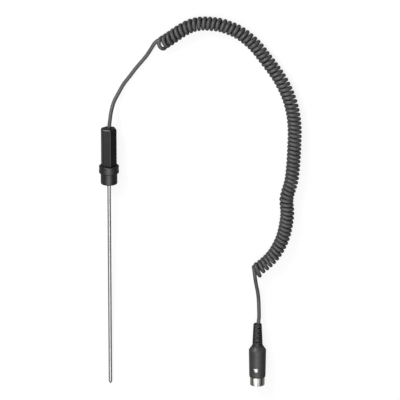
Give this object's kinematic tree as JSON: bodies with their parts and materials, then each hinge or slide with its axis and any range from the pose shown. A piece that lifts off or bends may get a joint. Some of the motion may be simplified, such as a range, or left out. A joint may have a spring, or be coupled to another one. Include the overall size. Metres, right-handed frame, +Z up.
{
  "type": "temperature sensor",
  "caption": "Laboratory temperature probe: steel rod sheath in a hexagonal handle, curly cord and a round keyed multi-pole plug with a slotted bend relief.",
  "frame": {"origin": "on the surface the probe lies on, under the middle of the probe's own box, the cord and plug left out", "axes": "+Y along the probe in plan, from the tip of the sheath towards the cable end of the handle; +Z up; +X towards the plug"},
  "size_m": [0.1825, 0.3458, 0.0183],
  "materials": {
    "stainless_steel": "bright drawn tube with a fine lengthwise grain",
    "nickel_plate": "bright nickel plate",
    "sheet_steel": "bright pressed sheet",
    "brass": "turned",
    "tinned_copper": "tinned, satin",
    "handle_plastic": "black, satin gloss, smooth moulded",
    "cap_plastic": "black, matt, with light turning rings",
    "sleeve_plastic": "dark grey, satin, fine moulded grain",
    "pin_plastic": "black, moulded",
    "boot_rubber": "black, matt, flexible",
    "seal_rubber": "black, matt",
    "cord_jacket": "dark grey, matt soft jacket",
    "core_insulation": "red, smooth",
    "ceramic": "white, fired, matt"
  },
  "bodies": {
    "root": {"probe_sheath": "stainless_steel", "sensing_element": "ceramic", "sensor_wire_1": "core_insulation", "sensor_wire_2": "core_insulation", "splice_sleeve_1": "tinned_copper", "splice_sleeve_2": "tinned_copper", "handle_core_1": "core_insulation", "handle_core_2": "core_insulation", "handle_core_3": "core_insulation", "handle_core_4": "core_insulation", "sheath_ferrule": "brass", "end_cap": "cap_plastic", "cap_seal": "seal_rubber", "handle_shell": "handle_plastic", "cord_retainer": "brass", "cord_lead_handle": "cord_jacket", "cord_coil": "cord_jacket", "cord_lead_plug": "cord_jacket", "plug_boot": "boot_rubber", "plug_sleeve": "sleeve_plastic", "plug_shroud": "nickel_plate", "plug_frame_upper": "sheet_steel", "plug_frame_lower": "sheet_steel", "pin_insulator": "pin_plastic", "contact_pin_1": "nickel_plate", "contact_pin_2": "nickel_plate", "contact_pin_3": "nickel_plate", "contact_pin_4": "nickel_plate", "contact_pin_5": "nickel_plate", "plug_core_1": "core_insulation", "plug_core_2": "core_insulation", "plug_core_3": "core_insulation", "plug_core_4": "core_insulation"}
  },
  "joints": []
}
